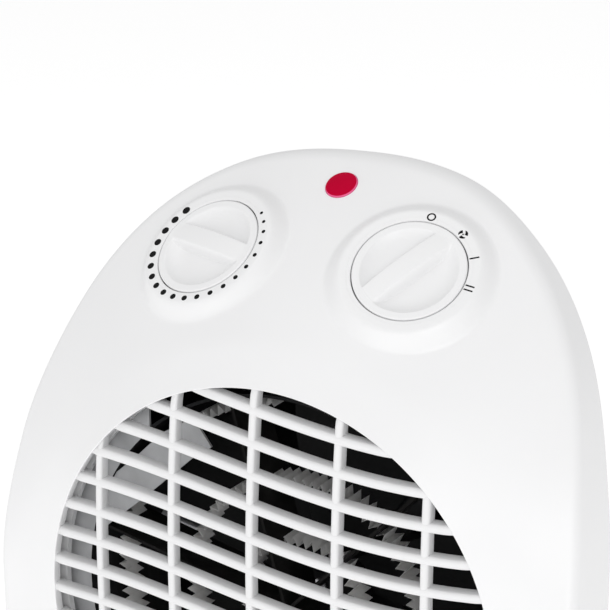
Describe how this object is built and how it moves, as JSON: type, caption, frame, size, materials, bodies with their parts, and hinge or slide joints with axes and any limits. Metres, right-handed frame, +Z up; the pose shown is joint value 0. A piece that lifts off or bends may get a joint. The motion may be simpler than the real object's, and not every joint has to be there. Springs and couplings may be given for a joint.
{
  "type": "fan convector heater",
  "caption": "Free-standing egg-shaped fan convector heater with a round wavy-louvred outlet, two rotary knobs on raised bosses and a mains lamp.",
  "frame": {"origin": "centre of the footprint box at floor level, under the feet", "axes": "+Z up; -Y is the side that blows warm air and carries the knobs; X across, the symmetry plane of the housing is X = 0"},
  "size_m": [0.2024, 0.1128, 0.2438],
  "materials": {
    "white_plastic": "satin gloss",
    "white_plastic_rear": "fine satin",
    "white_knob": "satin",
    "rubber": "matte",
    "zinc_steel": "zinc plated",
    "red_lens": "polished, tinted",
    "lamp_glass": "clear",
    "dark_phenolic": "moulded",
    "switch_nylon": "moulded",
    "sheet_steel": "galvanised sheet",
    "mica": "dark pressed mica",
    "nichrome": "heat-tinted",
    "bronze": "sintered",
    "lamination": "stacked laminations",
    "copper_wire": "enamelled winding",
    "bright_steel": "ground",
    "black_fan": "moulded",
    "dark_rubber": "matte"
  },
  "bodies": {
    "housing": {"front_shell": "white_plastic", "front_grille": "white_plastic", "rear_shell": "white_plastic_rear", "rubber_feet": "rubber", "case_screws": "zinc_steel", "indicator_lens": "red_lens", "neon_lamp": "lamp_glass", "thermostat_body": "dark_phenolic", "selector_switch": "switch_nylon", "control_brackets": "zinc_steel", "heat_duct": "sheet_steel", "mica_frame": "mica", "element_tab": "sheet_steel", "heating_ribbon": "nichrome", "thermal_cutout": "zinc_steel", "thermal_fuse": "zinc_steel", "motor_bracket": "sheet_steel", "bearing_front": "bronze", "bearing_rear": "bronze", "motor_end_plate": "sheet_steel", "motor_stator": "lamination", "motor_coil": "copper_wire", "motor_screws": "zinc_steel", "terminal_block": "switch_nylon", "cord_inlet_gland": "dark_rubber", "bracket_screws": "zinc_steel"},
    "thermostat_dial": {"thermostat_knob": "white_knob", "thermostat_shaft": "zinc_steel"},
    "selector_dial": {"selector_knob": "white_knob", "selector_shaft": "switch_nylon"},
    "fan": {"fan_blade": "black_fan", "fan_nut": "bright_steel", "motor_shaft": "bright_steel", "motor_rotor": "lamination"}
  },
  "joints": [
    {"name": "thermostat_turn", "type": "hinge", "parent": "housing", "child": "thermostat_dial", "pos_m": [-0.03533, -0.0164, 0.2185], "axis": [-0.148, -0.6432, 0.7513], "range_deg": [-206.8, 60.6]},
    {"name": "selector_turn", "type": "hinge", "parent": "housing", "child": "selector_dial", "pos_m": [0.03533, -0.0164, 0.2185], "axis": [0.148, -0.6432, 0.7513], "range_deg": [-63.2, 31.6]},
    {"name": "fan_spin", "type": "hinge", "parent": "housing", "child": "fan", "pos_m": [0, 0.00045, 0.108], "axis": [0, -1, 0], "continuous": true}
  ]
}
